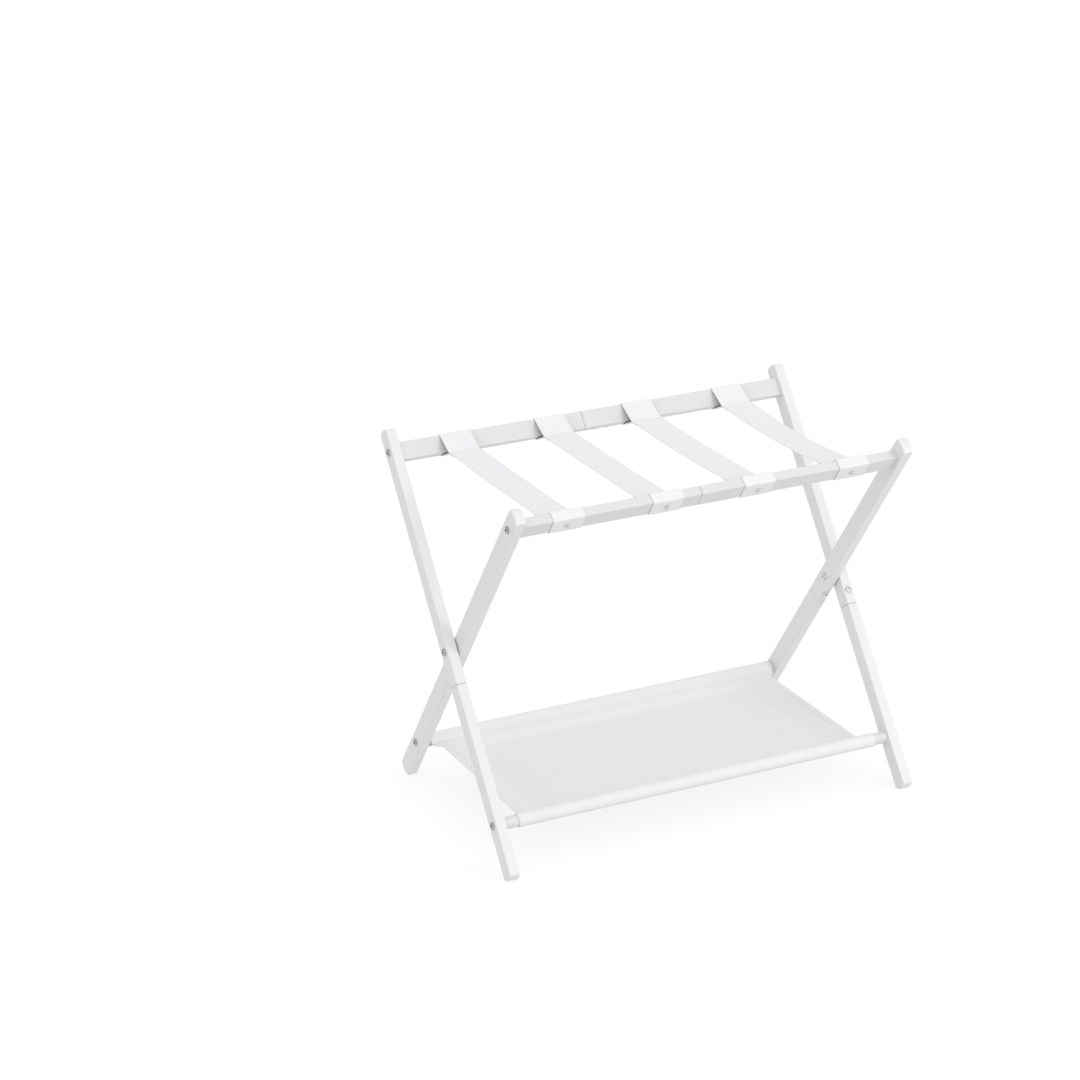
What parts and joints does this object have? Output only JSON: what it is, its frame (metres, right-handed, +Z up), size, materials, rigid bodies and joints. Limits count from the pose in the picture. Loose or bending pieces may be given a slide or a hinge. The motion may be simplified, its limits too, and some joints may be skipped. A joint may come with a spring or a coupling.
{
  "type": "folding luggage rack",
  "caption": "Folding luggage rack: two wooden frames crossed on a pivot, webbing straps between the top rails and a cloth shelf slung between the lower rods.",
  "frame": {"origin": "on the floor, midway between the legs in both directions, with the rack open", "axes": "+X along the rails, +Y from the front rail to the rear rail, +Z up"},
  "size_m": [0.685, 0.429, 0.5679],
  "materials": {
    "painted_wood": "white satin paint over wood",
    "bare_wood": "unpainted hardwood, hidden in the joints",
    "steel": "zinc plated, satin",
    "nylon": "matt natural nylon",
    "webbing": "plain woven polypropylene webbing",
    "canvas": "plain woven polyester cloth"
  },
  "bodies": {
    "outer_frame": {"outer_leg_left_upper": "painted_wood", "outer_leg_left_lower": "painted_wood", "rear_rail_left": "painted_wood", "outer_leg_right_upper": "painted_wood", "outer_leg_right_lower": "painted_wood", "rear_rail_right": "painted_wood", "outer_leg_dowels": "bare_wood", "outer_leg_joint_screws": "steel", "rear_rail_tenon": "bare_wood", "rear_rail_joint_screws": "steel", "rear_rail_bolts": "steel", "rear_rail_inserts": "steel", "rear_rail_pins": "bare_wood", "front_rod": "painted_wood", "front_rod_bolts": "steel", "front_rod_inserts": "steel", "rear_rail_strap_screws": "steel", "pivot_bolts": "steel", "pivot_sleeve_nuts": "steel", "pivot_washers": "nylon", "strap_1": "webbing", "strap_2": "webbing", "strap_3": "webbing", "strap_4": "webbing", "shelf": "canvas"},
    "inner_frame": {"inner_leg_left_upper": "painted_wood", "inner_leg_left_lower": "painted_wood", "front_rail_left": "painted_wood", "inner_leg_right_upper": "painted_wood", "inner_leg_right_lower": "painted_wood", "front_rail_right": "painted_wood", "inner_leg_dowels": "bare_wood", "inner_leg_joint_screws": "steel", "front_rail_tenon": "bare_wood", "front_rail_joint_screws": "steel", "front_rail_bolts": "steel", "front_rail_inserts": "steel", "front_rail_pins": "bare_wood", "rear_rod": "painted_wood", "rear_rod_bolts": "steel", "rear_rod_inserts": "steel", "front_rail_strap_screws": "steel"}
  },
  "joints": [
    {"name": "fold", "type": "hinge", "parent": "outer_frame", "child": "inner_frame", "pos_m": [0, 0, 0.28398], "axis": [-1, 0, 0], "range_deg": [0, 67], "deforming": ["strap_1", "strap_2", "strap_3", "strap_4", "shelf"]}
  ]
}
